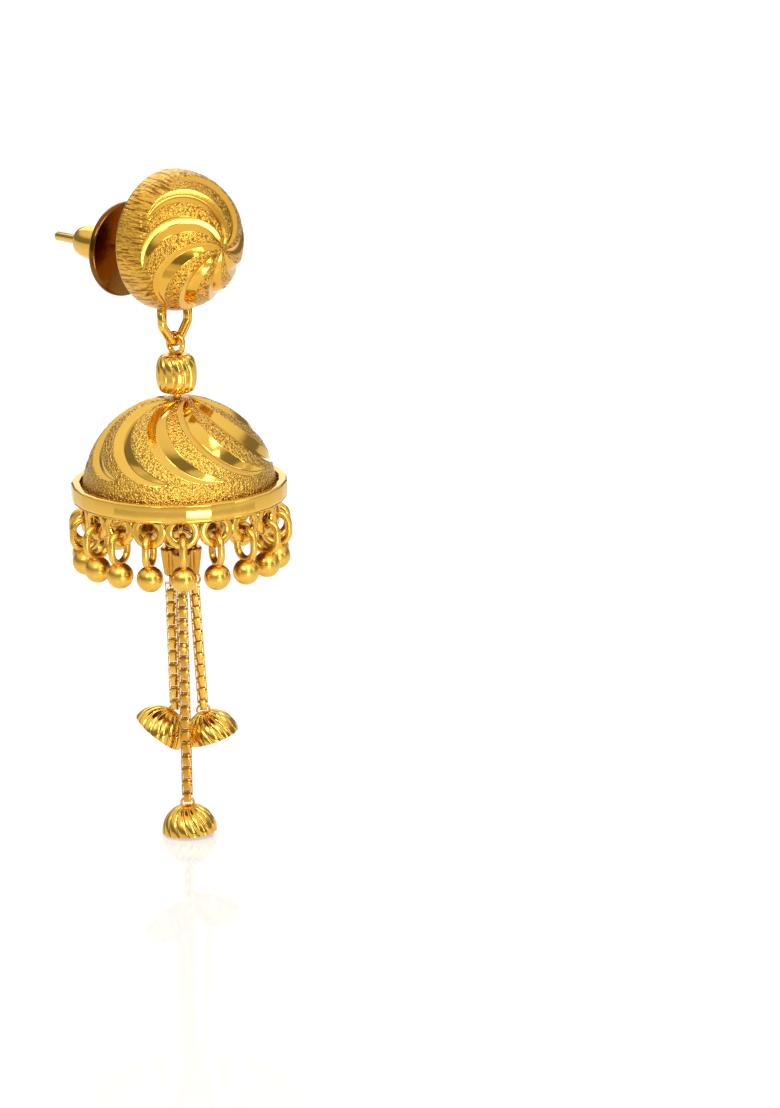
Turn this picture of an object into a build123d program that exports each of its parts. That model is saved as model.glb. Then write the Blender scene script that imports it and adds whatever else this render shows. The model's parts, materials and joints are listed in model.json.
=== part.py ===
from build123d import *
import math
import os

os.makedirs("parts", exist_ok=True)

# Millimetres. +Z is up and -Y is the front. The origin is on the ear post's axis, in the middle of
# the ear lobe, so the back plate lies half a lobe in front of it and the clutch half a lobe behind.

# stud
lobe_gap = 4.3
ball_radius = 5.5
ball_cut = 0.75            # the ball is cut off this far behind its centre
ball_height = 1.45         # the ball's centre above the post
ball_wall = 0.6
ball_arms = 8
ball_first = 19.4          # the arms' direction, from +X
ball_spread = 33           # half the angle that an arm's circle takes up at the ball's centre
ball_lean = 37             # from the front pole to that circle's middle
ball_sink = 0.29           # how deep the arms are cut
ball_tool = 0.95           # radius of the cutter that sweeps each arm
plate_thick = 0.6
post_radius = 0.37
post_tip = 10.1
post_chamfer = 0.15
vent_radius = 0.3
vent_side = 3.0

# hanging loop under the ball, bent from one wire
loop_wire = 0.37
loop_foot = 0.66           # bend radius at the bottom
loop_lean = 36             # each side's lean, in degrees
loop_half = 1.38           # half the width at the ball
loop_shoulder = 0.9        # bend radius near the ball
loop_bottom = -6.6

# clutch
clutch_clear = 0.04
clutch_radius = 1.36
clutch_length = 5.3
clutch_nose = 1.6          # the rounded end's length
clutch_end = 0.6           # the end's share of the barrel's radius
disc_radius = 3.7
disc_thick = 0.6
disc_edge = 0.2

# eye pin
eye_bend = 0.775
eye_wire = 0.225
shank_radius = 0.3
pin_flange = 1.0
flange_thick = 0.35
foot_bend = 0.5
foot_wire = 0.18

# fluted bead
bead_radius = 1.6
bead_half = 1.5
bead_end = 0.95            # radius of its flat ends
bead_height = -9.05
bead_flutes = 14
bead_slant = 14
bead_tool = 0.17
bead_sweep = 1.95          # how wide each flute's cutter swings
bead_mouth = 0.75          # the countersink for the pin's eye

# bell
bell_radius = 7.6
bell_wall = 0.6
bell_height = -18.55       # the centre of the bell's sphere
bell_lip = 7.95
lip_thick = 0.3
bell_arms = 10
bell_first = 6.1           # the arms' direction, from +X
bell_spread = 32.4
bell_lean = 39.5
bell_sink = 0.37
bell_tool = 1.25

# rim and gallery
rim_facets = 27
rim_first = 2.3            # the first corner's direction, from +X
rim_radius = 8.42
rim_top = -17.55
rim_bottom = -19.1
rim_bevel = 0.3
rim_edge = 0.12
gallery_count = 18
gallery_first = 7.0
gallery_middle = 7.55
gallery_thick = 0.4
gallery_height = -19.86
gallery_hole = 0.7
gallery_ring = 1.41

# drops
drop_radius = 1.035
drop_height = -23.6
drop_wire = 0.28
drop_half_deep = 0.95
drop_bite = 0.02           # how far the loop's middle line is sunk into the ball

# chains: square links, each turned a quarter from the last
link_width = 0.86
link_wall = 0.1
link_strip = 0.45
link_pitch = 0.495
chain_circle = 1.05        # the chains hang this far from the bell's axis
chain_front = -134.5       # the front chain's direction, from +X
ring_wire = 0.15
arch_wire = 0.13
ring_height = -22.7
small_bend = 0.5
small_wire = 0.09
cap_top = -23.1
cap_bottom = -25.4
cap_wide = 0.75
cap_narrow = 0.42
cap_ridges = 8
cap_tool = 0.12
cap_bend = 0.36            # the loop that holds the cap
cap_wire = 0.1
cap_bite = 0.14            # how far the cap's lower eye is sunk into it

# cups
cup_radius = 2.18
cup_wall = 0.35
cup_flutes = 16
cup_tool = 0.25
cup_sink = 0.09
cup_slant = 20
cup_eye = cup_radius + 0.05    # its eye is sunk through the wall and soldered

gap = 0.05                 # between pieces that hang on each other
drop_gap = 0.08
eye_gap = 0.13
drop_axis = -lobe_gap / 2 - ball_cut
rising = (Align.CENTER, Align.CENTER, Align.MIN)
hanging = (Align.CENTER, Align.CENTER, Align.MAX)

# name, direction of its cap from the front chain's, how many links, and its cup: side and depth of
# the mouth's centre from the drop axis, and how far it leans
chains = [
    ("front", 0, 34, 0.1, 1.9, -3),
    ("right", 120, 21, 2.05, -1.7, -17),
    ("left", -120, 20, -2.2, -0.3, 39),
]


def hang(shape):
    """Place what is built round the Z axis under the ball."""
    return Pos(0, drop_axis, 0) * shape


def around(shape, count, first=0):
    """Copies of a shape, turned evenly about the Z axis."""
    return [Rot(0, 0, first + 360 / count * k) * shape for k in range(count)]


def upright_ring(bend, wire, turn=0):
    """A ring standing on edge, whose hole looks along X, turned about Z."""
    return Rot(0, 0, turn) * Rot(0, 90, 0) * Torus(bend, wire)


def crescent(radius, tool, depth, spread, lean):
    """A bent cutter that sinks into a sphere between two points and comes out at both."""
    reach = radius + tool + 0.01
    bend = reach * math.sin(math.radians(spread))
    lift = reach * math.cos(math.radians(spread))
    sink = depth / math.sin(math.radians(spread))
    arc = Rot(0, 0, 180) * Torus(bend, tool, major_angle=180, align=None)
    return Rot(0, lean, 0) * Pos(0, sink, lift) * arc


def slanted_flute():
    """A ring cutter on the bead's side, leaning so that its groove runs aslant."""
    cutter = Pos(-bead_sweep, 0, 0) * Rot(90, 0, 0) * Torus(bead_sweep, bead_tool)
    return Pos(bead_radius + 0.07, 0, 0) * Rot(bead_slant, 0, 0) * cutter


def cup_flute(low, high):
    """A groove cutter along the cup between two latitudes, leaning from the meridian."""
    arc = Torus(cup_radius + cup_tool - cup_sink, cup_tool, major_angle=high - low, align=None)
    slanted = Rot(cup_slant, 0, 0) * Rot(90, 0, 0) * Rot(0, 0, (low - high) / 2) * arc
    return Rot(0, -(low + high) / 2, 0) * slanted


def ear_stud():
    ball = Sphere(ball_radius)
    wide = 4 * ball_radius
    arm = crescent(ball_radius, ball_tool, ball_sink, ball_spread, ball_lean)
    for one in around(arm, ball_arms, ball_first):
        ball = ball - one
    ball &= Pos(0, 0, -ball_cut) * Box(wide, wide, wide, align=rising)
    hollow = Sphere(ball_radius - ball_wall)
    hollow &= Pos(0, 0, plate_thick - ball_cut) * Box(wide, wide, wide, align=rising)
    ball -= hollow
    ball -= Pos(0, vent_side, -ball_cut) * Cylinder(vent_radius, 4 * plate_thick)
    ball = Pos(0, drop_axis, ball_height) * Rot(90, 0, 0) * ball
    back = -lobe_gap / 2 - plate_thick / 2
    post = Cylinder(post_radius, post_tip - back, align=rising)
    post = chamfer(post.edges().sort_by(Axis.Z)[-1], post_chamfer)
    post = Pos(0, back, 0) * Rot(-90, 0, 0) * post
    return ball + post + hanging_loop()


def hanging_loop():
    lean = math.radians(loop_lean)
    tip = loop_bottom - loop_foot * (1 / math.sin(lean) - 1)
    shoulder = tip + loop_half / math.tan(lean)
    top = ball_height - ball_radius + ball_wall
    path = FilletPolyline(
        (loop_half, 0, top), (loop_half, 0, shoulder), (0, 0, tip),
        (-loop_half, 0, shoulder), (-loop_half, 0, top), radius=(loop_shoulder, loop_foot, loop_shoulder))
    section = Plane(origin=path @ 0, z_dir=path % 0) * Circle(loop_wire)
    return hang(sweep(section, path=path))


def ear_clutch():
    disc = Cylinder(disc_radius, disc_thick, align=rising)
    disc = fillet(disc.edges().filter_by(GeomType.CIRCLE), disc_edge)
    straight = clutch_length - clutch_nose
    end = clutch_radius * clutch_end
    profile = Polyline((0, 0), (clutch_radius, 0), (clutch_radius, straight))
    profile += ThreePointArc((clutch_radius, straight), (clutch_radius * 0.9, straight + clutch_nose / 2),
                             (end, clutch_length))
    profile += Polyline((end, clutch_length), (0, clutch_length), (0, 0))
    barrel = revolve(Plane.XZ * make_face(profile), Axis.Z)
    clutch = disc + barrel
    clutch -= Cylinder(post_radius + clutch_clear, 3 * clutch_length)
    return Pos(0, lobe_gap / 2, 0) * Rot(-90, 0, 0) * clutch


def eye_pin():
    eye_height = loop_bottom + loop_wire + gap - (eye_bend - eye_wire)
    foot_height = ring_height + chain_circle + (foot_bend - foot_wire) - arch_wire - gap
    top = eye_height - eye_bend
    bottom = foot_height + foot_bend
    pin = Pos(0, 0, bottom) * Cylinder(shank_radius, top - bottom, align=rising)
    edge = math.sqrt((bell_radius - bell_wall) ** 2 - pin_flange ** 2)
    pin += Pos(0, 0, bell_height + edge - gap) * Cylinder(pin_flange, flange_thick, align=hanging)
    pin += Pos(0, 0, eye_height) * upright_ring(eye_bend, eye_wire)
    pin += Pos(0, 0, foot_height) * upright_ring(foot_bend, foot_wire, chain_front + 90)
    return hang(pin)


def fluted_bead():
    side = ThreePointArc((bead_end, -bead_half), (bead_radius, 0), (bead_end, bead_half))
    profile = Polyline((0, bead_half), (0, -bead_half), (bead_end, -bead_half)) + side
    profile += Line((bead_end, bead_half), (0, bead_half))
    bead = revolve(Plane.XZ * make_face(profile), Axis.Z)
    bead -= around(slanted_flute(), bead_flutes)
    bead -= Cylinder(shank_radius + gap, 3 * bead_half)
    bead -= Pos(0, 0, bead_half - 0.3) * Cone(shank_radius + gap, bead_mouth, 0.31, align=rising)
    return Pos(0, drop_axis, bead_height) * bead


def bell_dome():
    wide = 4 * bell_radius
    arm = crescent(bell_radius, bell_tool, bell_sink, bell_spread, bell_lean)
    dome = Sphere(bell_radius)
    for one in around(arm, bell_arms, bell_first):
        dome = dome - one
    upper = Box(wide, wide, wide, align=rising)
    dome &= upper
    dome += Cylinder(bell_lip, lip_thick, align=hanging)
    inner = Sphere(bell_radius - bell_wall) & upper
    inner += Cylinder(bell_radius - bell_wall, 2 * lip_thick, align=hanging)
    dome -= inner
    dome -= Pos(0, 0, bell_radius) * Cylinder(shank_radius + gap, 4 * bell_wall)
    return Pos(0, drop_axis, bell_height) * dome


def bell_rim():
    inside = gallery_middle - gallery_thick / 2
    outside = gallery_middle + gallery_thick / 2
    lip_top = bell_height + drop_gap
    lip_under = bell_height - lip_thick - drop_gap
    low = gallery_height - gallery_ring
    band = extrude(RegularPolygon(rim_radius, rim_facets, rotation=rim_first), rim_top - rim_bottom)
    band = chamfer(band.edges().group_by(Axis.Z)[0], rim_bevel)
    band = chamfer(band.edges().group_by(Axis.Z)[-1], rim_edge)
    wall = Pos(0, 0, low) * Cylinder(outside, rim_bottom - low + 0.2, align=rising)
    rim = Pos(0, 0, rim_bottom) * band + wall
    rim -= Pos(0, 0, low - 1) * Cylinder(inside, 9, align=rising)
    rim -= Pos(0, 0, lip_top) * Cylinder(bell_radius + 0.1, 5, align=rising)
    rim -= Pos(0, 0, lip_under) * Cylinder(bell_lip + drop_gap, lip_top - lip_under, align=rising)
    hole = Pos(gallery_middle, 0, gallery_height) * Rot(0, 90, 0) * Cylinder(gallery_hole, 2)
    for one in around(hole + gallery_notch(), gallery_count, gallery_first):
        rim = rim - one
    return hang(rim)


def gallery_notch():
    """The space below and between two rings, just after the first ring's hole."""
    step = 360 / gallery_count
    ring = Pos(gallery_middle, 0, gallery_height) * Rot(0, 90, 0) * Cylinder(gallery_ring, 4)
    block = Box(2, 2 * gallery_ring, 2 * gallery_ring, align=hanging)
    notch = Rot(0, 0, step / 2) * Pos(gallery_middle, 0, gallery_height) * block
    return notch - ring - Rot(0, 0, step) * ring


def drop(number):
    top = gallery_height - gallery_hole + drop_wire + drop_gap
    bottom = drop_height + drop_radius - drop_bite
    tall = top - bottom
    middle = (top + bottom) / 2
    leg = tall / 2 - drop_half_deep
    path = Polyline((drop_half_deep, 0, -leg), (drop_half_deep, 0, leg))
    path += ThreePointArc((drop_half_deep, 0, leg), (0, 0, leg + drop_half_deep), (-drop_half_deep, 0, leg))
    path += Line((-drop_half_deep, 0, leg), (-drop_half_deep, 0, -leg))
    foot = -leg - drop_half_deep
    path += ThreePointArc((-drop_half_deep, 0, -leg), (0, 0, foot), (drop_half_deep, 0, -leg))
    section = Plane(origin=path @ 0, z_dir=path % 0) * Circle(drop_wire)
    loop = Pos(gallery_middle, 0, middle) * sweep(section, path=path)
    piece = loop + Pos(gallery_middle, 0, drop_height) * Sphere(drop_radius)
    turn = gallery_first + 360 / gallery_count * (number - 1)
    return hang(Rot(0, 0, turn) * piece)


def chain_ring():
    ring = Pos(0, 0, ring_height) * Torus(chain_circle, ring_wire)
    arch = Torus(chain_circle, arch_wire, major_angle=180, align=None)
    ring += Pos(0, 0, ring_height) * Rot(0, 0, chain_front) * Rot(0, 90, 0) * Rot(0, 0, 90) * arch
    return hang(ring)


def chain_cap(turn, count):
    tall = cap_top - cap_bottom
    lean = math.degrees(math.atan2(cap_wide - cap_narrow, tall))
    groove = Pos(cap_narrow + cap_tool / 2, 0, 0) * Rot(0, lean, 0) * Cylinder(cap_tool, 3 * tall)
    cap = Cone(cap_narrow, cap_wide, tall, align=rising)
    cap -= around(groove, cap_ridges)
    cap = Pos(0, 0, cap_bottom) * cap
    cap += Pos(0, 0, ring_height - gap) * upright_ring(cap_bend, cap_wire, chain_front + turn + 90)
    start = chain_start(turn)
    eye_turn = chain_front + 90 * ((count - 1) % 2)
    cap += Pos(0, 0, start.Z) * upright_ring(small_bend, small_wire, eye_turn)
    return Pos(start.X, start.Y, 0) * cap


def chain_start(turn):
    """The middle of the small eye under a cap."""
    angle = math.radians(chain_front + turn)
    return Vector(chain_circle * math.cos(angle), chain_circle * math.sin(angle) + drop_axis,
                  cap_bottom - small_bend + cap_bite)


def end_reach():
    """From the middle of a small eye to the middle of the link that it holds."""
    return small_bend - small_wire - eye_gap - link_wall + link_width / 2


def cup_frame(turn, count, side, depth, lean):
    """The cup's own frame: its origin is the mouth's centre and its Z runs up to the chain."""
    angle = math.radians(chain_front)
    toward = Vector(math.cos(angle), math.sin(angle), 0)
    across = Vector(-toward.Y, toward.X, 0)
    tilt = math.radians(lean)
    axis = across * math.sin(tilt) + Vector(0, 0, math.cos(tilt))
    start = chain_start(turn)
    middle = across * side + toward * depth + Vector(0, drop_axis, 0)
    eye = middle + axis * cup_eye
    run = 2 * end_reach() + link_pitch * (count - 1)
    fall = math.sqrt(run ** 2 - (eye.X - start.X) ** 2 - (eye.Y - start.Y) ** 2)
    return Plane(origin=(middle.X, middle.Y, start.Z - fall - axis.Z * cup_eye), x_dir=toward, z_dir=axis)


def cup():
    """A cup with its mouth's centre at the origin."""
    wide = 4 * cup_radius
    body = Sphere(cup_radius) & Box(wide, wide, wide, align=rising)
    body -= Sphere(cup_radius - cup_wall)
    for flute in around(cup_flute(-8, 62), cup_flutes):
        body = body - flute
    return body + Pos(0, 0, cup_eye) * upright_ring(small_bend, small_wire)


def box_link():
    hole = link_width - 2 * link_wall
    return Box(link_width, link_strip, link_width) - Box(hole, 1, hole)


def chain(turn, count, cup_plane):
    upper = chain_start(turn)
    lower = cup_plane.origin + cup_plane.z_dir * cup_eye
    down = (lower - upper).normalized()
    across = cup_plane.x_dir.cross(down)
    link = box_link()
    links = []
    for k in range(count):
        middle = upper + down * (end_reach() + link_pitch * k)
        quarter = 90 * ((count - 1 - k) % 2)
        links.append(Plane(origin=middle, x_dir=down.cross(across), z_dir=down) * Rot(0, 0, quarter) * link)
    return Compound(children=links)


def write(name, shape):
    export_step(shape, f"parts/{name}.step")


def main():
    write("ear_stud", ear_stud())
    write("ear_clutch", ear_clutch())
    write("eye_pin", eye_pin())
    write("fluted_bead", fluted_bead())
    write("bell_dome", bell_dome())
    write("bell_rim", bell_rim())
    for number in range(1, gallery_count + 1):
        write(f"drop_{number:02d}", drop(number))
    write("chain_ring", chain_ring())
    one_cup = cup()
    for name, turn, count, side, depth, lean in chains:
        cup_plane = cup_frame(turn, count, side, depth, lean)
        write(f"chain_cap_{name}", chain_cap(turn, count))
        write(f"chain_{name}", chain(turn, count, cup_plane))
        write(f"cup_{name}", cup_plane * one_cup)


main()
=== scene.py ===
import bpy
import bmesh
import json
import math
from mathutils import Matrix, Vector, noise


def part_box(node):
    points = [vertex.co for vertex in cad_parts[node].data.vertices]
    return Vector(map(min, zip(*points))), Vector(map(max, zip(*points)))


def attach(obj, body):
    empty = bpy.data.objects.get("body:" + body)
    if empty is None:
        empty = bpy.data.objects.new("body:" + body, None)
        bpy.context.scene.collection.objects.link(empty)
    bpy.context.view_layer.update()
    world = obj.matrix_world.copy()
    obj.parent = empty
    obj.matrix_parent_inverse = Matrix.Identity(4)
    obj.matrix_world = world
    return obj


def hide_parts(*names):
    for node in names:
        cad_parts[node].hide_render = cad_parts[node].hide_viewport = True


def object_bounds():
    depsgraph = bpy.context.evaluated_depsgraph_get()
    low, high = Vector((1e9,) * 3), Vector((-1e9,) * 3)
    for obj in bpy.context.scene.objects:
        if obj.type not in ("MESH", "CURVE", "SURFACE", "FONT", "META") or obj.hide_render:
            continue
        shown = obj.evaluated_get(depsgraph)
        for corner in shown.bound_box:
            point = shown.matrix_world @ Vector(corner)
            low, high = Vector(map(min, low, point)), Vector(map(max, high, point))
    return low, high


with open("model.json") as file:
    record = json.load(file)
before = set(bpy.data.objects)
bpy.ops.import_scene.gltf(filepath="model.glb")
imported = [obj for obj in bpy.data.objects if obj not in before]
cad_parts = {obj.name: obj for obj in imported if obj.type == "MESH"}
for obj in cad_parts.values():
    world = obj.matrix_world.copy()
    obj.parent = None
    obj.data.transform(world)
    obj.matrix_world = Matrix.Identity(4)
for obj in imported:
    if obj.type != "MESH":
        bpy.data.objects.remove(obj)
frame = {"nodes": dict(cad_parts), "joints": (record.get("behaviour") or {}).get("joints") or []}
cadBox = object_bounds()
mm = 0.001

swing = [joint for joint in frame["joints"] if joint["name"] == "drop_swing"][0]
dropY = swing["pos_m"][1] / mm       # the drop hangs round this line
hangHeight = swing["pos_m"][2] / mm  # middle of the hanging loop's lowest wire


# every shape is made in millimetres, and finishPiece turns it into metres

def turnX(degrees):
    return Matrix.Rotation(math.radians(degrees), 4, "X")


def turnY(degrees):
    return Matrix.Rotation(math.radians(degrees), 4, "Y")


def turnZ(degrees):
    return Matrix.Rotation(math.radians(degrees), 4, "Z")


def move(x, y, z):
    return Matrix.Translation((x, y, z))


def place(bm, matrix):
    bmesh.ops.transform(bm, matrix=matrix, verts=bm.verts)


def addCopy(target, source, matrix=Matrix.Identity(4)):
    mesh = bpy.data.meshes.new("part")
    source.to_mesh(mesh)
    mesh.transform(matrix)
    target.from_mesh(mesh)
    bpy.data.meshes.remove(mesh)


def spinProfile(points, steps, closed=True):
    # a closed outline in the XZ plane, spun round Z
    bm = bmesh.new()
    verts = [bm.verts.new((x, 0, z)) for x, z in points]
    edges = [bm.edges.new(pair) for pair in zip(verts, verts[1:])]
    if closed:
        edges.append(bm.edges.new((verts[-1], verts[0])))
    bmesh.ops.spin(bm, geom=verts + edges, axis=(0, 0, 1), cent=(0, 0, 0), dvec=(0, 0, 0),
                   angle=math.tau, steps=steps, use_merge=True)
    bmesh.ops.remove_doubles(bm, verts=bm.verts, dist=1e-4)
    bmesh.ops.recalc_face_normals(bm, faces=bm.faces)
    return bm


def fineBall(radius, segments, rings, floor):
    # a coarse ball whose faces are divided and pushed out to the radius again, cut off below the floor
    bm = bmesh.new()
    bmesh.ops.create_uvsphere(bm, u_segments=segments // 4, v_segments=rings // 4, radius=radius)
    bmesh.ops.subdivide_edges(bm, edges=bm.edges[:], cuts=3, use_grid_fill=True)
    for vert in bm.verts:
        vert.co = vert.co.normalized() * radius
    bmesh.ops.bisect_plane(bm, geom=bm.verts[:] + bm.edges[:] + bm.faces[:], dist=1e-5,
                           plane_co=(0, 0, floor), plane_no=(0, 0, -1), clear_outer=True)
    return bm


def wire(points, radius, cyclic=False, sides=6):
    # a round wire along the points, as a mesh
    curve = bpy.data.curves.new("wire", "CURVE")
    curve.dimensions = "3D"
    curve.bevel_depth = radius
    curve.bevel_resolution = sides
    curve.use_fill_caps = not cyclic
    curve.twist_mode = "MINIMUM"
    spline = curve.splines.new("POLY")
    spline.points.add(len(points) - 1)
    for point, spot in zip(spline.points, points):
        point.co = (*spot, 1)
    spline.use_cyclic_u = cyclic
    item = bpy.data.objects.new("wire", curve)
    mesh = bpy.data.meshes.new_from_object(item)
    bm = bmesh.new()
    bm.from_mesh(mesh)
    bpy.data.objects.remove(item)
    bpy.data.curves.remove(curve)
    bpy.data.meshes.remove(mesh)
    bmesh.ops.remove_doubles(bm, verts=bm.verts, dist=1e-4)
    bmesh.ops.recalc_face_normals(bm, faces=bm.faces)
    return bm


def ringPoints(radius, count=24):
    # round Z, in the XY plane
    return [(radius * math.cos(math.tau * k / count), radius * math.sin(math.tau * k / count), 0)
            for k in range(count)]


def ring(radius, thick, count=36, sides=5):
    return wire(ringPoints(radius, count), thick, cyclic=True, sides=sides)


def outward(azimuth, elevation):
    # the direction out to a place round the earring, in degrees from the front and from level
    turn, rise = math.radians(azimuth), math.radians(elevation)
    return Vector((math.sin(turn) * math.cos(rise), -math.cos(turn) * math.cos(rise), math.sin(rise)))


def finishPiece(bm, name, body, material, nodes=(), crease=None):
    place(bm, Matrix.Scale(mm, 4))
    mesh = bpy.data.meshes.new(name)
    bm.to_mesh(mesh)
    bm.free()
    for face in mesh.polygons:
        face.use_smooth = True
    if crease is not None:
        mesh.set_sharp_from_angle(angle=math.radians(crease))
    piece = bpy.data.objects.new(name, mesh)
    bpy.context.scene.collection.objects.link(piece)
    mesh.materials.append(material)
    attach(piece, body)
    if nodes:
        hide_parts(*nodes)


viewing = {
    "azimuth": -46.1,      # degrees round Z from the front
    "elevation": 15.0,
    "roll": 1.04,
    "sensor": 36.0,
    "lens": 202.9,
    "distance": 480.0,
    "right": 16.7,         # from the ball's middle to the middle of the frame
    "down": 24.18,
    "farthest": 10.0,      # in metres
}


def makeCamera():
    azimuth = math.radians(viewing["azimuth"])
    back = outward(viewing["azimuth"], viewing["elevation"])
    level = Vector((math.cos(azimuth), math.sin(azimuth), 0))
    up = back.cross(level)
    roll = math.radians(viewing["roll"])
    right = level * math.cos(roll) - up * math.sin(roll)
    top = level * math.sin(roll) + up * math.cos(roll)
    middle = Vector(ball["middle"]) + right * viewing["right"] - top * viewing["down"]
    data = bpy.data.cameras.new("camera")
    data.lens = viewing["lens"]
    data.sensor_width = viewing["sensor"]
    data.clip_end = viewing["farthest"]
    camera = bpy.data.objects.new("camera", data)
    turn = Matrix((right, top, back)).transposed().to_4x4()
    camera.matrix_world = Matrix.Translation((middle + back * viewing["distance"]) * mm) @ turn
    bpy.context.scene.collection.objects.link(camera)
    bpy.context.scene.camera = camera


gold = {
    "colour": (0.87, 0.55, 0.105),
    "deep": (0.80, 0.45, 0.065),
    # painted shade: the dark tone laid in the ground's grain pits
    "pitShade": (0.40, 0.19, 0.025),
    "warm": (0.84, 0.49, 0.075),
    "warmDeep": (0.76, 0.38, 0.04),
    # painted shade: the dark tone laid in the ball's grain pits
    "warmPitShade": (0.26, 0.10, 0.01),
    "polish": 0.1,
    "sand": 0.24,
    "relief": 0.00018,     # of the grains, in metres
}

finishes = {
    # light and deep colour, lowest and highest roughness
    # painted shade: a near-black copy of the gold for the clutch disc
    "discShadeGold": ((0.26, 0.10, 0.015), (0.14, 0.05, 0.008), 0.12, 0.2),
    # painted shade: a dark copy of the gold for the hollow inside the bell
    "innerShadeGold": ((0.36, 0.14, 0.03), (0.26, 0.09, 0.018), 0.45, 0.55),
    "shadedGold": ((0.72, 0.39, 0.06), (0.58, 0.27, 0.035), 0.14, 0.22),
    "satinGold": (gold["colour"], gold["deep"], 0.24, 0.34),
}

grounds = {
    # attribute the grain reads, its scale, the three tones (the third is painted shade in the pits), and the
    # noise below which a grain is a pit
    "sandyGold": (None, 6000.0, ("colour", "deep", "pitShade"), 0.52),
    "streakedGold": ("grainSpot", 4.8, ("warm", "warmDeep", "warmPitShade"), 0.51),
}


def newMaterial(name):
    material = bpy.data.materials.new(name)
    material.use_nodes = True
    tree = material.node_tree
    shader = tree.nodes["Principled BSDF"]
    shader.inputs["Metallic"].default_value = 1
    return material, tree, shader


def addNode(tree, kind, **values):
    node = tree.nodes.new(kind)
    for key, value in values.items():
        if key in node.inputs:
            node.inputs[key].default_value = value
        else:
            setattr(node, key, value)
    return node


def mixColour(tree, factor, first, second):
    node = addNode(tree, "ShaderNodeMix", data_type="RGBA")
    tree.links.new(factor, node.inputs["Factor"])
    node.inputs["A"].default_value = (*first, 1)
    node.inputs["B"].default_value = (*second, 1)
    return node.outputs["Result"]


def mapRange(tree, value, low, high, newLow, newHigh):
    node = tree.nodes.new("ShaderNodeMapRange")
    tree.links.new(value, node.inputs["Value"])
    for name, number in zip(("From Min", "From Max", "To Min", "To Max"), (low, high, newLow, newHigh)):
        node.inputs[name].default_value = number
    return node.outputs["Result"]


def noiseNode(tree, scale, detail=3.0):
    source = addNode(tree, "ShaderNodeTexCoord").outputs["Object"]
    texture = tree.nodes.new("ShaderNodeTexNoise")
    texture.inputs["Scale"].default_value = scale
    texture.inputs["Detail"].default_value = detail
    tree.links.new(source, texture.inputs["Vector"])
    return texture.outputs["Fac"]


def bump(tree, shader, height, strength, distance):
    node = tree.nodes.new("ShaderNodeBump")
    node.inputs["Strength"].default_value = strength
    node.inputs["Distance"].default_value = distance
    tree.links.new(height, node.inputs["Height"])
    tree.links.new(node.outputs["Normal"], shader.inputs["Normal"])


def polishedGold():
    # bright plate, with a faint cloudiness and a slight ripple from buffing
    material, tree, shader = newMaterial("polishedGold")
    cloud = noiseNode(tree, 420.0)
    tree.links.new(mixColour(tree, cloud, gold["deep"], gold["colour"]), shader.inputs["Base Color"])
    smear = mapRange(tree, noiseNode(tree, 900.0), 0.3, 0.7, gold["polish"] * 0.75, gold["polish"] * 1.5)
    tree.links.new(smear, shader.inputs["Roughness"])
    bump(tree, shader, noiseNode(tree, 700.0, 2.0), strength=0.12, distance=0.0001)
    return material


def sandyGold(name):
    # the ground is stippled, with painted shade in its pits, and where the attribute is 1 the cut is polished
    source, scale, tones, pitted = grounds[name]
    material, tree, shader = newMaterial(name)
    cut = addNode(tree, "ShaderNodeAttribute", attribute_name="polished").outputs["Fac"]
    texture = addNode(tree, "ShaderNodeTexNoise", Scale=scale, Detail=2.5)
    spot = addNode(tree, "ShaderNodeTexCoord").outputs["Object"]
    if source:
        spot = addNode(tree, "ShaderNodeAttribute", attribute_name=source).outputs["Vector"]
    tree.links.new(spot, texture.inputs["Vector"])
    grains = texture.outputs["Fac"]
    ground = mapRange(tree, cut, 0.2, 0.8, 1.0, 0.0)
    cloud = noiseNode(tree, 500.0)
    light, deep, pitShade = [gold[tone] for tone in tones]
    plain = mixColour(tree, cloud, deep, light)
    # painted shade: the pit tone is mixed in where the grain, which is also the bump's height, is lowest
    pitShadeMask = addNode(tree, "ShaderNodeMath", operation="MULTIPLY")
    tree.links.new(mapRange(tree, grains, pitted, pitted - 0.14, 0.0, 0.9), pitShadeMask.inputs[0])
    tree.links.new(ground, pitShadeMask.inputs[1])
    coloured = addNode(tree, "ShaderNodeMix", data_type="RGBA")
    tree.links.new(pitShadeMask.outputs["Value"], coloured.inputs["Factor"])
    tree.links.new(plain, coloured.inputs[6])
    coloured.inputs[7].default_value = (*pitShade, 1)
    tree.links.new(coloured.outputs[2], shader.inputs["Base Color"])
    tree.links.new(mapRange(tree, ground, 0.0, 1.0, gold["polish"], gold["sand"]), shader.inputs["Roughness"])
    fade = addNode(tree, "ShaderNodeMath", operation="MULTIPLY")
    tree.links.new(mapRange(tree, ground, 0.0, 1.0, 0.02, 1.0), fade.inputs[0])
    tree.links.new(grains, fade.inputs[1])
    bump(tree, shader, fade.outputs["Value"], strength=0.9, distance=gold["relief"])
    return material


def plainGold(name):
    # one dull colour, with the buffing's ripple
    light, deep, low, high = finishes[name]
    material, tree, shader = newMaterial(name)
    cloud = noiseNode(tree, 300.0)
    tree.links.new(mixColour(tree, cloud, deep, light), shader.inputs["Base Color"])
    tree.links.new(mapRange(tree, noiseNode(tree, 900.0), 0.3, 0.7, low, high), shader.inputs["Roughness"])
    bump(tree, shader, noiseNode(tree, 600.0, 2.0), strength=0.15, distance=0.0001)
    return material


def armPlaces(piece):
    # for each circle that an arm follows, its middle's direction and the turn that brings it to +Z
    places = []
    for k in range(piece["arms"]):
        turn = (turnZ(piece["first"] + 360 / piece["arms"] * k) @ turnY(piece["lean"])).to_3x3()
        places.append((turn @ Vector((0, 0, 1)), turn.inverted()))
    return places


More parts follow.
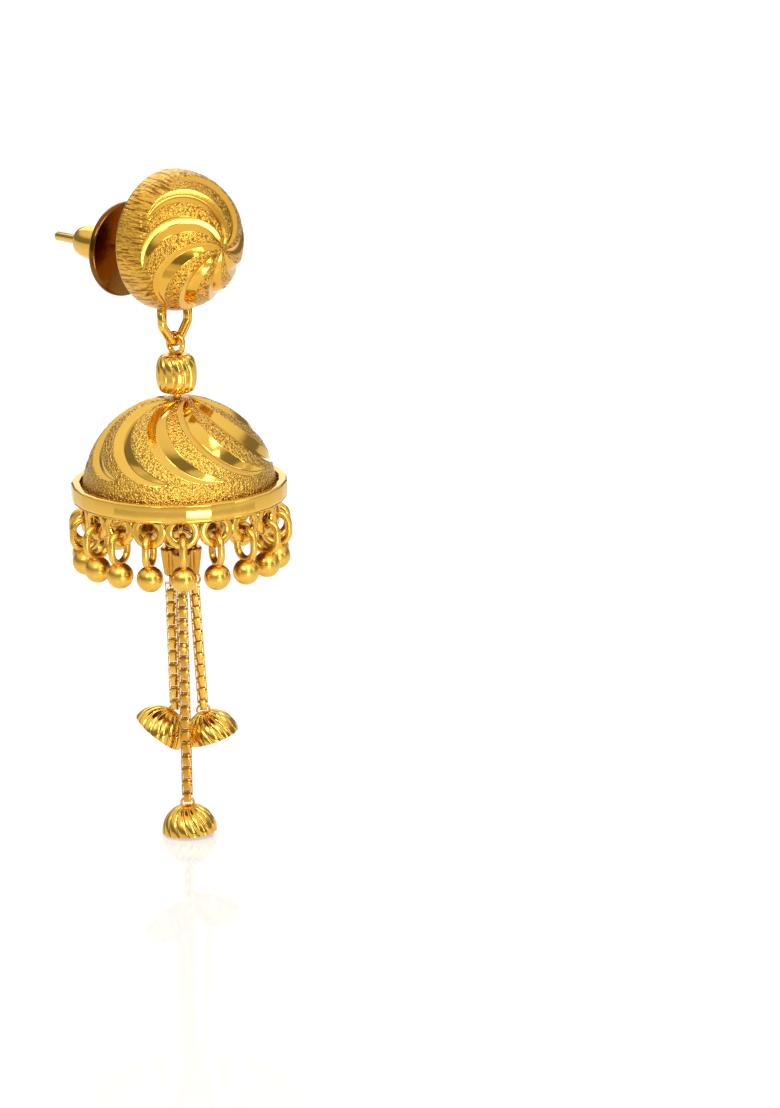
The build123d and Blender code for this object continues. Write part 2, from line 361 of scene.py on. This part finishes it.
def cutDepth(direction, arms, cut):
    # how deep the cut is at a direction, and 1 inside one: an arm lies "spread" degrees from its circle's
    # middle and "wide" to each side, runs "reach" degrees each way, and "wall" is its steep side's share
    nearest = math.cos(math.radians(cut["spread"] - cut["wide"]))
    farthest = math.cos(math.radians(cut["spread"] + cut["wide"]))
    deepest, inside = 0.0, 0.0
    for middle, turn in arms:
        toMiddle = direction.dot(middle)
        if not farthest < toMiddle < nearest:
            continue
        away = math.degrees(math.acos(toMiddle)) - cut["spread"]
        local = turn @ direction
        along = math.degrees(math.atan2(local.x, -local.y))     # the arm's middle lies on -Y
        share = abs(along) / cut["reach"]
        if share >= 1:
            continue
        wide = cut["wide"] * math.cos(share * math.pi / 2) ** 0.7
        across = (away + wide) / (2 * wide)
        if not 0 < across < 1:
            continue
        wall = cut["wall"]      # the steep side is the outer one
        fall = (1 - across) / wall if across > 1 - wall else across / (1 - wall)
        deepest = max(deepest, cut["depth"] * math.cos(share * math.pi / 2) ** 0.5 * fall)
        inside = 1.0
    return deepest, inside


def cutSwirl(bm, arms, cut, ground):
    polished = bm.verts.layers.float.new("polished")
    moves = []
    for vert in bm.verts:
        direction = vert.co.normalized()
        depth, inside = cutDepth(direction, arms, cut)
        vert[polished] = inside
        if not inside:
            depth = ground(direction)
            vert[polished] = 0.0 if depth else 0.75     # the plain back edge is nearly polished
        moves.append((vert, direction * -depth))
    for vert, step in moves:
        vert.co += step


ball = {
    "radius": 5.5,
    "middle": (0.0, dropY, 1.45),
    "detail": (540, 288),  # segments and rings
    "cut": 0.75,           # the ball ends this far behind its middle
    "arms": 8,
    "first": 19.4,
    "lean": 35.0,
    "cutting": {"spread": 35.0, "wide": 7.0, "depth": 0.3, "reach": 84.0, "wall": 0.4},
    "streak": 0.03,        # relief of the streaks
    "streakEnd": 96.0,     # degrees from the front
    "stretchFrom": 45.0,   # the grain begins to run out into streaks
    "stretchFull": 67.0,
    "stretch": 0.84,
    "squeeze": 0.5,
}


def ballGround(direction):
    # low relief under the streaks, which end before the ball's back edge
    polar = math.degrees(math.acos(direction.z))
    if polar > ball["streakEnd"]:
        return 0.0
    grain = noise.noise(direction * 22)
    edge = min(1.0, (ball["streakEnd"] - polar) / 5)
    return ball["streak"] * edge * (0.7 + 1.3 * grain)


def streakSpots(bm):
    # where the noise is read: it runs out along the ball, and is even near the swirl
    spots = bm.verts.layers.float_vector.new("grainSpot")
    for vert in bm.verts:
        direction = vert.co.normalized()
        polar = math.degrees(math.acos(max(-1.0, min(1.0, direction.z))))
        angle = math.atan2(direction.y, direction.x)
        out = (polar - ball["stretchFrom"]) / (ball["stretchFull"] - ball["stretchFrom"])
        out = min(1.0, max(0.0, out))
        along = math.radians(polar) * ball["radius"] * (1 - ball["stretch"] * out)
        around = ball["radius"] * (1 - ball["squeeze"] * (1 - out))
        vert[spots] = Vector((math.cos(angle), math.sin(angle), 0)) * around + Vector((0, 0, along))


def makeBall(material):
    bm = fineBall(ball["radius"] - 0.01, *ball["detail"], 0.12 - ball["cut"])
    arms = armPlaces(ball)
    streakSpots(bm)
    cutSwirl(bm, arms, ball["cutting"], ballGround)
    rim = [edge for edge in bm.edges if edge.is_boundary]
    for shrink, drop in ((0.993, 0.07), (0.975, 0.05), (0.9, 0.0)):     # a rounded edge, then the flat back
        made = bmesh.ops.extrude_edge_only(bm, edges=rim)["geom"]
        rim = [item for item in made if isinstance(item, bmesh.types.BMEdge)]
        verts = [item for item in made if isinstance(item, bmesh.types.BMVert)]
        bmesh.ops.scale(bm, vec=(shrink, shrink, 1), verts=verts)
        bmesh.ops.translate(bm, vec=(0, 0, -drop), verts=verts)
    bmesh.ops.holes_fill(bm, edges=rim, sides=0)
    bmesh.ops.recalc_face_normals(bm, faces=bm.faces)
    place(bm, move(*ball["middle"]) @ turnX(90))
    finishPiece(bm, "studBall", "stud", material, ["ear_stud"])


post = {"radius": 0.37, "tip": 10.1, "chamfer": 0.15, "front": -2.4}


def makePost(material):
    radius, tip, chamfer, front = post["radius"], post["tip"], post["chamfer"], post["front"]
    bm = spinProfile([(0, front), (radius, front), (radius, tip - chamfer), (radius * 0.85, tip - 0.05),
                      (radius * 0.6, tip), (0, tip)], 32, closed=False)
    place(bm, turnX(-90))
    finishPiece(bm, "earPost", "stud", material, ["ear_stud"], crease=40)


hangLoop = {
    "wire": 0.37,
    "foot": 0.66,          # bend at the bottom
    "half": 1.38,          # half its width at the ball
    "lean": 36.0,          # each side, in degrees
    "shoulder": 0.9,       # bend near the ball
}


def loopPath():
    # one side of the loop, from the foot's lowest point up to the ball
    foot, half, shoulder = hangLoop["foot"], hangLoop["half"], hangLoop["shoulder"]
    lean = math.radians(hangLoop["lean"])
    low = hangHeight
    points = []
    turn = math.pi / 2 - lean
    for k in range(9):
        angle = turn * k / 8
        points.append((foot * math.sin(angle), low + foot * (1 - math.cos(angle))))
    x, z = points[-1]
    inner = half - shoulder * (1 - math.cos(lean))
    run = (inner - x) / math.sin(lean)
    top = (x + run * math.sin(lean), z + run * math.cos(lean))
    for k in range(9):
        angle = lean * (1 - k / 8)
        points.append((half - shoulder * (1 - math.cos(angle)),
                       top[1] + shoulder * (math.sin(lean) - math.sin(angle))))
    points.append((half, ball["middle"][2] - ball["radius"] + 0.6))
    return points


def makeHangLoop(material):
    side = loopPath()
    path = [(-x, dropY, z) for x, z in reversed(side)] + [(x, dropY, z) for x, z in side[1:]]
    bm = wire(path, hangLoop["wire"], sides=8)
    finishPiece(bm, "hangLoop", "stud", material, ["ear_stud"])


clutch = {
    "front": 2.15,         # half a lobe behind the lobe's middle
    "length": 5.3,
    "radius": 1.36,
    "bore": 0.41,
    "disc": 3.7,
    "thick": 0.6,
}


def makeClutch(material, discMaterial):
    front, bore, disc, thick = clutch["front"], clutch["bore"], clutch["disc"], clutch["thick"]
    bm = spinProfile([(bore, 0), (disc - 0.2, 0), (disc - 0.06, 0.06), (disc, 0.2), (disc, thick - 0.2),
                      (disc - 0.06, thick - 0.06), (disc - 0.2, thick), (bore, thick)], 96)
    place(bm, move(0, front, 0) @ turnX(-90))
    # the disc's material is painted shade, a near-black copy of the gold
    finishPiece(bm, "clutchDisc", "clutch", discMaterial, ["ear_clutch"], crease=50)
    radius, length = clutch["radius"], clutch["length"]
    start = thick + 0.005
    nose = [(radius, length - 1.6), (radius * 0.985, length - 1.15), (radius * 0.93, length - 0.7),
            (radius * 0.82, length - 0.3), (radius * 0.68, length - 0.06), (radius * 0.58, length)]
    bm = spinProfile([(bore, start), (radius - 0.05, start), (radius, start + 0.05),
                      (radius, 2.2), (radius - 0.07, 2.28), (radius, 2.36)] + nose + [(bore, length)], 64)
    place(bm, move(0, front, 0) @ turnX(-90))
    finishPiece(bm, "clutchBarrel", "clutch", material, ["ear_clutch"], crease=40)


eyePin = {
    "bend": 0.775,         # middle of the eye's wire
    "wire": 0.225,
    "shank": 0.3,
    "collar": -11.9,       # where the shank goes through the bell's top
    "collarRadius": 1.0,
    "foot": 0.5,           # the ring inside the bell
    "footWire": 0.18,
}


def makeEyePin(material):
    low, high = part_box("eye_pin")
    height = high.z / mm - eyePin["bend"] - eyePin["wire"]
    bm = ring(eyePin["bend"], eyePin["wire"], 48, 6)
    place(bm, move(0, dropY, height) @ turnY(90))
    shank, collar, wide = eyePin["shank"], eyePin["collar"], eyePin["collarRadius"]
    neck = spinProfile([(0, height - 0.72), (shank, height - 0.8), (shank, collar), (0, collar)],
                       24, closed=False)
    addCopy(bm, neck, move(0, dropY, 0))
    flange = spinProfile([(0, collar + 0.2), (wide, collar + 0.2), (wide, collar - 0.12), (0, collar - 0.12)],
                         32, closed=False)
    addCopy(bm, flange, move(0, dropY, 0))
    foot = ring(eyePin["foot"], eyePin["footWire"], 32, 5)
    bottom = low.z / mm + eyePin["foot"] + eyePin["footWire"]
    addCopy(bm, foot, move(0, dropY, bottom) @ turnZ(chains["front"] + 90) @ turnY(90))
    end = low.z / mm + 1.1      # inside the foot ring's wire
    lower = spinProfile([(0, collar), (shank, collar), (shank, end), (0, end)], 20, closed=False)
    addCopy(bm, lower, move(0, dropY, 0))
    finishPiece(bm, "eyePin", "drop", material, ["eye_pin"], crease=40)


bead = {
    "half": 1.5,           # half its height
    "radius": 1.6,
    "top": 0.7,
    "bottom": 1.0,
    "flutes": 14,
    "depth": 0.13,
    "twist": 15.0,
    "bore": 0.36,
    "lip": 0.66,           # the plain edge round the bore
}


def makeBead(material):
    # bulging bands with thin lines between them
    low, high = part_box("fluted_bead")
    middle = (low.z + high.z) / 2 / mm
    half, radius = bead["half"], bead["radius"]
    rows = 48
    outline = [(bead["bore"], -half + 0.16), (bead["bottom"] - 0.3, -half + 0.02)]
    for k in range(rows + 1):
        turn = math.pi * (k / rows - 0.5)
        end = bead["top"] if turn > 0 else bead["bottom"]
        swell = math.cos(turn) ** 0.8
        outline.append((end + (radius - end) * swell, half * math.copysign(abs(math.sin(turn)) ** 0.9, turn)))
    outline += [(bead["top"] - 0.08, half), (bead["bore"], half - 0.3)]
    bm = spinProfile(outline, bead["flutes"] * 20)
    for vert in bm.verts:
        away = math.hypot(vert.co.x, vert.co.y)
        if away < bead["lip"]:
            continue
        angle = math.degrees(math.atan2(vert.co.y, vert.co.x))
        z = vert.co.z / half
        lean = bead["twist"] * math.cos(z * math.pi / 2) - 7 * z
        wave = abs((angle - lean) * bead["flutes"] / 360 % 1 * 2 - 1)
        sink = bead["depth"] * wave ** 5 * min(1.0, (away - bead["lip"]) / 0.2)
        vert.co.x *= 1 - sink / away
        vert.co.y *= 1 - sink / away
    place(bm, move(0, dropY, middle))
    finishPiece(bm, "flutedBead", "drop", material, ["fluted_bead"])


bell = {
    "radius": 7.6,
    "middle": -18.55,
    "wall": 0.6,
    "skirt": 0.28,         # goes down inside the rim
    "detail": (560, 320),  # segments and rings
    "arms": 10,
    "first": 6.1,
    "lean": 39.5,
    "cutting": {"spread": 32.4, "wide": 6.6, "depth": 0.39, "reach": 86.0, "wall": 0.43},
    "sand": 0.035,         # relief of the ground
    "grain": 4.4,          # grains to a millimetre
}


def bellGround(direction):
    spot = direction * bell["radius"]
    return bell["sand"] * (0.8 + 1.2 * noise.noise(spot * bell["grain"]))


def makeDome(material, innerMaterial):
    bm = fineBall(bell["radius"] - 0.01, *bell["detail"], 0)
    arms = armPlaces(bell)
    cutSwirl(bm, arms, bell["cutting"], bellGround)
    rim = [edge for edge in bm.edges if edge.is_boundary]
    made = bmesh.ops.extrude_edge_only(bm, edges=rim)["geom"]
    verts = [item for item in made if isinstance(item, bmesh.types.BMVert)]
    bmesh.ops.translate(bm, vec=(0, 0, -bell["skirt"]), verts=verts)
    inside = fineBall(bell["radius"] - bell["wall"], 96, 64, 0)
    bmesh.ops.reverse_faces(inside, faces=inside.faces)
    place(bm, move(0, dropY, bell["middle"]))
    place(inside, move(0, dropY, bell["middle"]))
    finishPiece(bm, "bellDome", "drop", material, ["bell_dome"])
    # the inside carries painted shade, a dark copy of the gold
    finishPiece(inside, "bellInside", "drop", innerMaterial, ["bell_dome"])


rim = {
    "facets": 27,
    "corner": 2.3,         # turns the first facet's corner
    "radius": 8.42,
    "top": -17.55,
    "bottom": -19.1,
    "inside": 7.78,
    "lip": 7.4,            # inner edge of the shelf over the gallery
    "count": 18,           # gallery rings
    "first": 7.0,
    "middle": 7.55,        # radius of the gallery
    "hole": 0.74,
    "ring": 1.41,
    "height": -19.86,
}


def makeRim(material):
    out, top, bottom, inside = rim["radius"], rim["top"], rim["bottom"], rim["inside"]
    bm = spinProfile([(inside, top), (out - 0.14, top), (out, top - 0.1), (out, bottom + 0.42),
                      (out - 0.09, bottom + 0.28), (out - 0.04, bottom + 0.22), (out - 0.26, bottom),
                      (rim["lip"], bottom), (rim["lip"], bottom + 0.3), (inside, bottom + 0.4)],
                     rim["facets"])
    bmesh.ops.bevel(bm, geom=bm.edges[:], offset=0.035, offset_type="OFFSET", affect="EDGES", segments=2,
                    profile=0.5, material=-1)
    place(bm, turnZ(rim["corner"]))
    washer = galleryRing()
    for k in range(rim["count"]):
        addCopy(bm, washer, turnZ(rim["first"] + 360 / rim["count"] * k))
    washer.free()
    place(bm, move(0, dropY, 0))
    finishPiece(bm, "bellRim", "drop", material, ["bell_rim"], crease=28)


def galleryRing():
    # one ring of the gallery, made flat and then bent to the rim's curve
    hole, out = rim["hole"], rim["ring"]
    bm = spinProfile([(hole + 0.03, -0.2), (hole, -0.14), (hole, 0.06), (hole + 0.05, 0.14),
                      (hole + 0.15, 0.19), (hole + 0.3, 0.2), (out - 0.24, 0.19), (out - 0.11, 0.14),
                      (out - 0.03, 0.05), (out, -0.08), (out, -0.2)], 56)
    place(bm, move(0, 0, rim["height"]) @ turnY(90))
    for vert in bm.verts:
        angle = vert.co.y / rim["middle"]
        away = rim["middle"] + vert.co.x
        vert.co.x, vert.co.y = away * math.cos(angle), away * math.sin(angle)
    return bm


drops = {
    "radius": 1.035,
    "height": -23.6,
    "wire": 0.28,
    "deep": 0.95,          # half the loop's width
    "seat": 0.7,           # from a gallery ring's middle down to its hole's edge
    "gap": 0.08,           # between that edge and the loop
}


def makeDrops(material):
    top = rim["height"] - drops["seat"] + drops["wire"] + drops["gap"]
    bottom = drops["height"] + drops["radius"] - 0.02
    middle = (top + bottom) / 2
    tall = (top - bottom) / 2
    for k in range(rim["count"]):
        bm = bmesh.new()
        bmesh.ops.create_uvsphere(bm, u_segments=40, v_segments=28, radius=drops["radius"])
        place(bm, move(rim["middle"], 0, drops["height"]))
        leg = tall - drops["deep"]
        oval = []
        for step in range(40):
            angle = math.tau * step / 40
            lift = leg if math.sin(angle) > 0 else -leg
            oval.append((drops["deep"] * math.cos(angle), 0, drops["deep"] * math.sin(angle) + lift))
        loop = wire(oval, drops["wire"], cyclic=True, sides=5)
        addCopy(bm, loop, move(rim["middle"], 0, middle))
        loop.free()
        place(bm, move(0, dropY, 0) @ turnZ(rim["first"] + 360 / rim["count"] * k))
        finishPiece(bm, f"beadDrop{k + 1:02d}", "drop", material, [f"drop_{k + 1:02d}"])


strands = [("front", 0), ("right", 120), ("left", -120)]
chains = {
    "circle": 1.05,        # the three caps stand on this circle
    "front": -134.5,       # the front strand's direction
    "strip": 0.59,         # width of a link's strip
    "counts": {"front": 34, "right": 21, "left": 20},
}


def looseLinks(bm):
    # the vertices of each separate link, always in the same order
    bm.verts.index_update()
    left = set(bm.verts)
    while left:
        found = {left.pop()}
        edge = set(found)
        while edge:
            edge = {step.other_vert(vert) for vert in edge for step in vert.link_edges} - found
            found |= edge
        left -= found
        yield sorted(found, key=lambda vert: vert.index)


def halfWidth(verts, middle, way):
    return max(abs((vert.co - middle).dot(way)) for vert in verts)


def widenLinks(bm):
    # a wider strip closes the slits beside each link
    turn = math.radians(chains["front"])
    toward = Vector((math.cos(turn), math.sin(turn), 0))
    across = Vector((-toward.y, toward.x, 0))
    for verts in looseLinks(bm):
        middle = sum((vert.co for vert in verts), Vector()) / len(verts)
        # a link is narrowest across its strip, and only that side grows
        side = min((toward, across), key=lambda way: halfWidth(verts, middle, way))
        grow = chains["strip"] / 2 / halfWidth(verts, middle, side) - 1
        for vert in verts:
            vert.co += side * (vert.co - middle).dot(side) * grow


def makeChain(name, material):
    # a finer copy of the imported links, with rounded edges
    bm = bmesh.new()
    bm.from_mesh(frame["nodes"][f"chain_{name}"].data)
    place(bm, Matrix.Scale(1 / mm, 4))
    bmesh.ops.remove_doubles(bm, verts=bm.verts, dist=1e-4)
    widenLinks(bm)
    bmesh.ops.dissolve_limit(bm, angle_limit=math.radians(2), verts=bm.verts, edges=bm.edges)
    bmesh.ops.bevel(bm, geom=bm.edges[:], offset=0.03, offset_type="OFFSET", affect="EDGES", segments=2,
                    profile=0.5, material=-1)
    finishPiece(bm, f"chain{name.capitalize()}", "drop", material, [f"chain_{name}"],
                crease=35)


def keepChainRing(material):
    frame["nodes"]["chain_ring"].material_slots[0].material = material


caps = {
    "top": -23.1,
    "bottom": -25.4,
    "wide": 0.75,
    "narrow": 0.42,
    "ridges": 12,
    "groove": 0.07,
    "bend": 0.36,          # the loop on top
    "wire": 0.1,
}
smallEye = {"bend": 0.5, "wire": 0.09, "bite": 0.14}     # under each cap and on each cup


def chainStart(turn):
    angle = math.radians(chains["front"] + turn)
    return Vector((chains["circle"] * math.cos(angle), chains["circle"] * math.sin(angle) + dropY,
                   caps["bottom"] - smallEye["bend"] + smallEye["bite"]))


def makeCap(name, turn, material):
    # a small fluted bell that holds a chain's end
    wide, narrow = caps["wide"], caps["narrow"]
    tall = caps["top"] - caps["bottom"]
    outline = [(0, 0), (narrow - 0.06, 0), (narrow, 0.06)]
    for k in range(1, 12):
        share = k / 12
        outline.append((narrow + (wide - narrow) * share ** 0.8, tall * share))
    outline += [(wide - 0.05, tall - 0.12), (wide - 0.12, tall), (0, tall)]
    bm = spinProfile(outline, caps["ridges"] * 8, closed=False)
    for vert in bm.verts:
        away = math.hypot(vert.co.x, vert.co.y)
        if away < narrow * 0.8 or vert.co.z > tall - 0.2:
            continue
        wave = math.cos(math.atan2(vert.co.y, vert.co.x) * caps["ridges"])
        shrink = 1 - caps["groove"] * (1 - wave) / away * 0.5
        vert.co.x *= shrink
        vert.co.y *= shrink
    place(bm, move(0, 0, caps["bottom"]))
    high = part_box(f"chain_cap_{name}")[1]
    loop = ring(caps["bend"], caps["wire"], 24, 4)
    lift = high.z / mm - caps["bend"] - caps["wire"]
    addCopy(bm, loop, move(0, 0, lift) @ turnZ(chains["front"] + turn + 90) @ turnY(90))
    eye = ring(smallEye["bend"], smallEye["wire"], 24, 4)
    eyeTurn = chains["front"] + 90 * ((chains["counts"][name] - 1) % 2)     # crosses the chain's first link
    addCopy(bm, eye, move(0, 0, chainStart(turn).z) @ turnZ(eyeTurn) @ turnY(90))
    start = chainStart(turn)
    place(bm, move(start.x, start.y, 0))
    finishPiece(bm, f"chainCap{name.capitalize()}", "drop", material, [f"chain_cap_{name}"],
                crease=50)


link = {"wide": 0.86, "wall": 0.1, "pitch": 0.495, "eyeGap": 0.13}
cupPlaces = {
    # the strand's turn, steps to the right and to the front, and lean in degrees
    "front": (0, 0.1, 1.9, -3),
    "right": (120, 2.05, -1.7, -17),
    "left": (-120, -2.2, -0.3, 39),
}
cups = {
    "radius": 2.18,
    "wall": 0.3,
    "flutes": 16,
    "depth": 0.14,
    "edge": 0.2,           # the steep side's share of a flute
    "slant": 24.0,         # how far a flute turns on its way to the mouth
    "plain": 8.0,          # degrees from the top without flutes
    "fade": 22.0,          # and until they are full
    "slope": 0.15,         # shares of the depth: the sloping side
    "line": 0.85,          # and the thin line between flutes
    "eye": 0.05,
}


def cupMatrix(name):
    # the mouth's middle, with X towards the viewer and Z up the chain
    turn, side, depth, lean = cupPlaces[name]
    angle = math.radians(chains["front"])
    toward = Vector((math.cos(angle), math.sin(angle), 0))
    across = Vector((-toward.y, toward.x, 0))
    tilt = math.radians(lean)
    axis = across * math.sin(tilt) + Vector((0, 0, math.cos(tilt)))
    start = chainStart(turn)
    middle = across * side + toward * depth + Vector((0, dropY, 0))
    cupEye = cups["radius"] + cups["eye"]
    eye = middle + axis * cupEye
    reach = smallEye["bend"] - smallEye["wire"] - link["eyeGap"] - link["wall"] + link["wide"] / 2
    run = 2 * reach + link["pitch"] * (chains["counts"][name] - 1)
    fall = math.sqrt(run ** 2 - (eye.x - start.x) ** 2 - (eye.y - start.y) ** 2)
    middle.z = start.z - fall - axis.z * cupEye
    side = axis.cross(toward)
    matrix = Matrix((toward, side, axis)).transposed().to_4x4()
    matrix.translation = middle
    return matrix


def makeCup(name, material):
    radius, wall, plain, edge = cups["radius"], cups["wall"], cups["plain"], cups["edge"]
    bm = fineBall(radius, cups["flutes"] * 20, 96, 0)
    for vert in bm.verts:
        polar = math.degrees(math.acos(min(1.0, vert.co.z / radius)))
        if polar < plain:
            continue
        angle = math.degrees(math.atan2(vert.co.y, vert.co.x))
        share = (polar - plain) / (90 - plain)
        turn = cups["slant"] * share ** 1.6
        across = (angle - turn) * cups["flutes"] / 360 % 1
        slope = across / (1 - edge) if across < 1 - edge else (1 - across) / edge
        line = abs(2 * across - 1) ** 4
        sink = cups["depth"] * (cups["slope"] * slope + cups["line"] * line)
        sink *= min(1.0, (polar - plain) / cups["fade"])
        vert.co *= 1 - sink / radius
    rim = [edge for edge in bm.edges if edge.is_boundary]
    made = bmesh.ops.extrude_edge_only(bm, edges=rim)["geom"]
    verts = [item for item in made if isinstance(item, bmesh.types.BMVert)]
    for vert in verts:
        away = math.hypot(vert.co.x, vert.co.y)
        vert.co.x *= (radius - wall) / away
        vert.co.y *= (radius - wall) / away
    inside = fineBall(radius - wall, 64, 40, 0)
    bmesh.ops.recalc_face_normals(bm, faces=bm.faces)
    bmesh.ops.reverse_faces(inside, faces=inside.faces)
    addCopy(bm, inside)
    inside.free()
    eye = ring(smallEye["bend"], smallEye["wire"], 24, 4)
    addCopy(bm, eye, move(0, 0, radius + cups["eye"]) @ turnY(90))
    place(bm, cupMatrix(name))
    finishPiece(bm, f"cup{name.capitalize()}", "drop", material, [f"cup_{name}"], crease=60)


stage = {
    "gap": 0.15,           # between the lowest cup and the floor
    "colour": (0.45, 0.45, 0.445),
    "light": (1, 0.995, 0.985),
    "glow": 0.46,
    "floorHalf": 4.0,      # the floor and the wall are in metres
    "wallRadius": 3.9,
    "wallTall": 6.0,
    "wallGlow": 1.6,       # times the floor's
}
backCard = {
    "wide": 300.0,
    "tall": 330.0,
    "away": 700.0,
    "up": 118.0,
    "glow": 1.0,
}
floorCards = {
    "colour": (0.5, 0.48, 0.45),
    "light": (1, 0.99, 0.96),
    "lift": 0.1,           # above the floor
    "soft": 0.12,          # share of a card over which its edges fade
    "cards": [
        # name, first and last angle, near and far edge, glow
        ("cardLeft", -215.0, -123.0, 76.0, 190.0, 0.0),
        ("cardRight", -101.0, -46.0, 76.0, 190.0, 0.0),
        ("cardBright", -122.0, -105.0, 82.0, 180.0, 10.0),
    ],
}


def stagePaint(name, colour, roughness, light, glow):
    material, tree, shader = newMaterial(name)
    shader.inputs["Metallic"].default_value = 0
    shader.inputs["Base Color"].default_value = (*colour, 1)
    shader.inputs["Roughness"].default_value = roughness
    shader.inputs["Emission Color"].default_value = (*light, 1)
    shader.inputs["Emission Strength"].default_value = glow
    return material, tree, shader


def finishStage(bm, name, material, unseenBy=()):
    mesh = bpy.data.meshes.new(name)
    bm.to_mesh(mesh)
    bm.free()
    mesh.materials.append(material)
    item = bpy.data.objects.new(name, mesh)
    for ray in unseenBy:
        setattr(item, f"visible_{ray}", False)
    bpy.context.scene.collection.objects.link(item)


def makeFloor():
    bm = bmesh.new()
    bmesh.ops.create_grid(bm, x_segments=2, y_segments=2, size=stage["floorHalf"])
    place(bm, move(0, 0, cadBox[0].z - stage["gap"] * mm))
    paint = stagePaint("floorPaint", stage["colour"], 0.06, stage["light"], stage["glow"])[0]
    finishStage(bm, "floor", paint)


def makeBackdrop():
    # a pale wall far round the floor's edge, which the gold doesn't reflect
    bm = bmesh.new()
    bmesh.ops.create_cone(bm, cap_ends=False, segments=64, radius1=stage["wallRadius"],
                          radius2=stage["wallRadius"], depth=stage["wallTall"])
    bmesh.ops.reverse_faces(bm, faces=bm.faces)
    glow = stage["glow"] * stage["wallGlow"]
    paint = stagePaint("backdropPaint", stage["colour"], 0.8, stage["light"], glow)[0]
    finishStage(bm, "backdrop", paint, ("glossy", "shadow", "diffuse"))


def makeBackCard():
    # a lit card far behind, which shows only as the floor's sheen
    bm = bmesh.new()
    bmesh.ops.create_grid(bm, x_segments=1, y_segments=1, size=0.5)
    bmesh.ops.scale(bm, vec=(backCard["wide"], backCard["tall"], 1), verts=bm.verts)
    turn = math.radians(viewing["azimuth"])
    spot = move(-math.sin(turn) * backCard["away"], math.cos(turn) * backCard["away"], backCard["up"])
    place(bm, spot @ turnZ(viewing["azimuth"]) @ turnX(90))
    place(bm, Matrix.Scale(mm, 4))
    paint = stagePaint("cardBackPaint", floorCards["colour"], 0.8, stage["light"], backCard["glow"])[0]
    finishStage(bm, "cardBack", paint, ("camera", "shadow", "diffuse"))


def makeCards():
    # cards on the floor, out of sight, that the rim's facets reflect: two grey, and a bright one between
    for name, first, last, near, far, glow in floorCards["cards"]:
        paint, tree, shader = stagePaint(f"{name}Paint", floorCards["colour"], 0.6, floorCards["light"], glow)
        fading = addNode(tree, "ShaderNodeAttribute", attribute_name="fade")
        tree.links.new(fading.outputs["Fac"], shader.inputs["Alpha"])
        bm = bmesh.new()
        bmesh.ops.create_grid(bm, x_segments=30, y_segments=10, size=0.5)
        fade = bm.verts.layers.float.new("fade")
        for vert in bm.verts:
            edge = min(0.5 - abs(vert.co.x), 0.5 - abs(vert.co.y))
            vert[fade] = min(1.0, edge / floorCards["soft"])
            radius = near + (far - near) * (vert.co.y + 0.5)
            turn = math.radians(first + (last - first) * (vert.co.x + 0.5))
            vert.co = Vector((radius * math.cos(turn), radius * math.sin(turn), 0))
        bmesh.ops.recalc_face_normals(bm, faces=bm.faces)
        lift = cadBox[0].z / mm - stage["gap"] + floorCards["lift"]
        place(bm, Matrix.Scale(mm, 4) @ move(0, dropY, lift))
        finishStage(bm, name, paint, ("camera", "shadow", "diffuse"))


lampAim = -20.0     # every lamp points at this height
lamps = [
    # name, azimuth, elevation, distance, wide, tall, watts
    ("key", -70.0, 42.0, 300.0, 85.0, 85.0, 0.2),
    ("window", -14.0, 46.0, 300.0, 110.0, 90.0, 0.22),
    ("strip", -22.0, 17.0, 320.0, 50.0, 150.0, 0.12),
    ("fill", 25.0, 14.0, 340.0, 45.0, 170.0, 0.07),
    ("back", 150.0, 35.0, 300.0, 180.0, 120.0, 0.1),
]


def makeLamps():
    middle = Vector((0, dropY, lampAim))
    for name, azimuth, elevation, distance, wide, tall, watts in lamps:
        away = outward(azimuth, elevation)
        data = bpy.data.lights.new(name, "AREA")
        data.shape = "RECTANGLE"
        data.size, data.size_y = wide * mm, tall * mm
        data.energy = watts
        lamp = bpy.data.objects.new(name, data)
        lamp.matrix_world = (Matrix.Translation((middle + away * distance) * mm)
                             @ away.to_track_quat("Z", "Y").to_matrix().to_4x4())
        bpy.context.scene.collection.objects.link(lamp)


sky = {
    "strength": 1.1,
    "below": (0.55, 0.54, 0.52, 1),
    "above": (1.0, 1.0, 1.0, 1),
    "bands": ((0.485, 0.5), (0.52, 0.22), (0.67, 0.25), (0.76, 0.85)),     # height and brightness
}


def makeWorld():
    world = bpy.data.worlds.new("studio")
    bpy.context.scene.world = world
    world.use_nodes = True
    tree = world.node_tree
    direction = addNode(tree, "ShaderNodeTexCoord").outputs["Generated"]
    parts = tree.nodes.new("ShaderNodeSeparateXYZ")
    tree.links.new(direction, parts.inputs["Vector"])
    ramp = tree.nodes.new("ShaderNodeValToRGB")
    tree.links.new(mapRange(tree, parts.outputs["Z"], -1, 1, 0, 1), ramp.inputs["Fac"])
    stops = ramp.color_ramp.elements
    stops[0].position, stops[0].color = 0.0, sky["below"]
    stops[1].position, stops[1].color = 1.0, sky["above"]
    for position, level in sky["bands"]:
        stop = stops.new(position)
        stop.color = (level, level * 0.98, level * 0.95, 1)
    background = tree.nodes["Background"]
    tree.links.new(ramp.outputs["Color"], background.inputs["Color"])
    background.inputs["Strength"].default_value = sky["strength"]


bpy.context.scene.view_settings.view_transform = "Standard"
makeCamera()
polished = polishedGold()
sandy, streaked = sandyGold("sandyGold"), sandyGold("streakedGold")
discShade, inner = plainGold("discShadeGold"), plainGold("innerShadeGold")
shaded, satin = plainGold("shadedGold"), plainGold("satinGold")
print("camera and materials")
makeBall(streaked)
makePost(polished)
makeHangLoop(polished)
makeClutch(polished, discShade)
print("stud and clutch")
makeEyePin(polished)
makeBead(polished)
makeDome(sandy, inner)
makeRim(polished)
makeDrops(satin)
print("bell")
keepChainRing(polished)
for name, turn in strands:
    makeCap(name, turn, shaded)
    makeChain(name, shaded if name == "front" else polished)
    makeCup(name, polished)
print("chains and cups")
makeFloor()
makeBackdrop()
makeBackCard()
makeCards()
makeLamps()
makeWorld()
